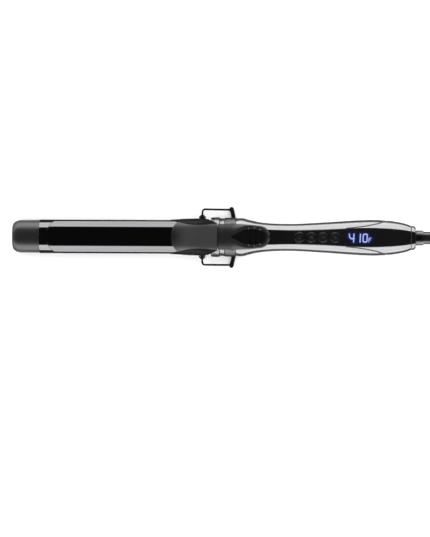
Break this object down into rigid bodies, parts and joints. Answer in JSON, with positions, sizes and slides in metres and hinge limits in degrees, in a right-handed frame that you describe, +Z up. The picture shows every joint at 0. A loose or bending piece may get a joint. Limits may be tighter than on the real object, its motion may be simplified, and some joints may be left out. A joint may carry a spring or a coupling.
{
  "type": "curling iron",
  "caption": "Spring-clip curling iron with a fold-out stand, push buttons and a lit temperature display on the handle, and a swivel cord folded into a tied hank.",
  "frame": {"origin": "on the table under the middle of the iron, measured without its cord", "axes": "+X along the iron from the tip towards the cord, +Z up, away from the table on the clip's side"},
  "size_m": [0.6756, 0.0652, 0.0645],
  "materials": {
    "cap_plastic": "matte, fine grain",
    "ceramic_white": "matte",
    "barrel_metal": "polished dark coating",
    "spreader_aluminium": "as extruded",
    "brass_contact": "plain",
    "ring_metal": "brushed",
    "collar_grey": "satin grey",
    "screw_dark": "blackened",
    "stand_black": "satin black",
    "clip_metal": "polished dark coating",
    "plain_steel": "zinc plated",
    "cover_plastic": "satin",
    "lever_plastic": "satin",
    "pad_rubber": "matte",
    "handle_silver": "metallic silver",
    "panel_gloss": "gloss",
    "button_ring": "satin grey",
    "button_black": "gloss",
    "component_black": "moulded",
    "board_green": "solder mask",
    "display_light": "lit numerals",
    "display_glass": "smoked",
    "lead_red": "insulated wire",
    "end_metal": "metallic silver",
    "cord_rubber": "satin",
    "tie_fabric": "woven hook and loop",
    "plug_plastic": "moulded"
  },
  "bodies": {
    "body": {"tip_cap": "cap_plastic", "tip_insulator": "ceramic_white", "barrel_tube": "barrel_metal", "heater_element": "ceramic_white", "heater_block_upper": "spreader_aluminium", "heater_block_lower": "spreader_aluminium", "temperature_sensor": "brass_contact", "thermal_fuse": "brass_contact", "base_insulator": "ceramic_white", "ferrule_ring": "ring_metal", "spacer_ring": "ring_metal", "front_collar": "collar_grey", "collar_screws": "screw_dark", "stand_bracket": "collar_grey", "pivot_bracket": "plain_steel", "pivot_pin": "plain_steel", "clip_spring": "plain_steel", "handle_top": "handle_silver", "handle_bottom": "handle_silver", "handle_tail": "handle_silver", "handle_screws": "screw_dark", "control_panel": "panel_gloss", "button_rings": "button_ring", "tact_switches": "component_black", "circuit_board": "board_green", "board_screws": "plain_steel", "display_module": "display_light", "display_window": "display_glass", "heater_switch": "component_black", "capacitor": "component_black", "heater_leads": "lead_red", "power_leads": "lead_red", "end_ring": "end_metal", "swivel_socket": "cover_plastic", "contact_brushes": "brass_contact", "cord_lead": "cord_rubber", "cord_hank": "cord_rubber", "cord_tail": "cord_rubber", "cord_tie": "tie_fabric", "plug_body": "plug_plastic", "plug_blades": "brass_contact"},
    "stand": {"stand_arms": "stand_black", "stand_foot": "stand_black", "stand_washers": "stand_black"},
    "clip": {"clip": "clip_metal", "clip_arm": "plain_steel", "clip_rivets": "plain_steel", "clip_cover": "cover_plastic", "thumb_lever": "lever_plastic", "thumb_pad": "pad_rubber", "lever_screws": "screw_dark"},
    "swivel": {"swivel_spindle": "cover_plastic", "contact_rings": "brass_contact", "swivel_collar": "collar_grey", "strain_relief": "cord_rubber"},
    "power_key": {"power_button": "button_black"},
    "mode_key": {"mode_button": "button_black"},
    "minus_key": {"minus_button": "button_black"},
    "plus_key": {"plus_button": "button_black"}
  },
  "joints": [
    {"name": "clip_hinge", "type": "hinge", "parent": "body", "child": "clip", "pos_m": [-0.02102, 0, 0.04523], "axis": [0, 1, 0], "range_deg": [0, 18], "stiffness_Nm_per_rad": 0.6, "springref_deg": -17.19, "deforming": ["clip_spring"]},
    {"name": "stand_hinge", "type": "hinge", "parent": "body", "child": "stand", "pos_m": [-0.03678, 0, 0.02255], "axis": [0, 1, 0], "range_deg": [0, 80]},
    {"name": "cord_swivel", "type": "hinge", "parent": "body", "child": "swivel", "pos_m": [0.16774, 0, 0.03115], "axis": [0.9991, 0, 0.042], "continuous": true},
    {"name": "power_press", "type": "slide", "parent": "body", "child": "power_key", "axis": [0.042, 0, -0.9991], "range_m": [0, 0.0005], "stiffness_N_per_m": 400, "springref_m": -0.0005},
    {"name": "mode_press", "type": "slide", "parent": "body", "child": "mode_key", "axis": [0.042, 0, -0.9991], "range_m": [0, 0.0005], "stiffness_N_per_m": 400, "springref_m": -0.0005},
    {"name": "minus_press", "type": "slide", "parent": "body", "child": "minus_key", "axis": [0.042, 0, -0.9991], "range_m": [0, 0.0005], "stiffness_N_per_m": 400, "springref_m": -0.0005},
    {"name": "plus_press", "type": "slide", "parent": "body", "child": "plus_key", "axis": [0.042, 0, -0.9991], "range_m": [0, 0.0005], "stiffness_N_per_m": 400, "springref_m": -0.0005}
  ]
}
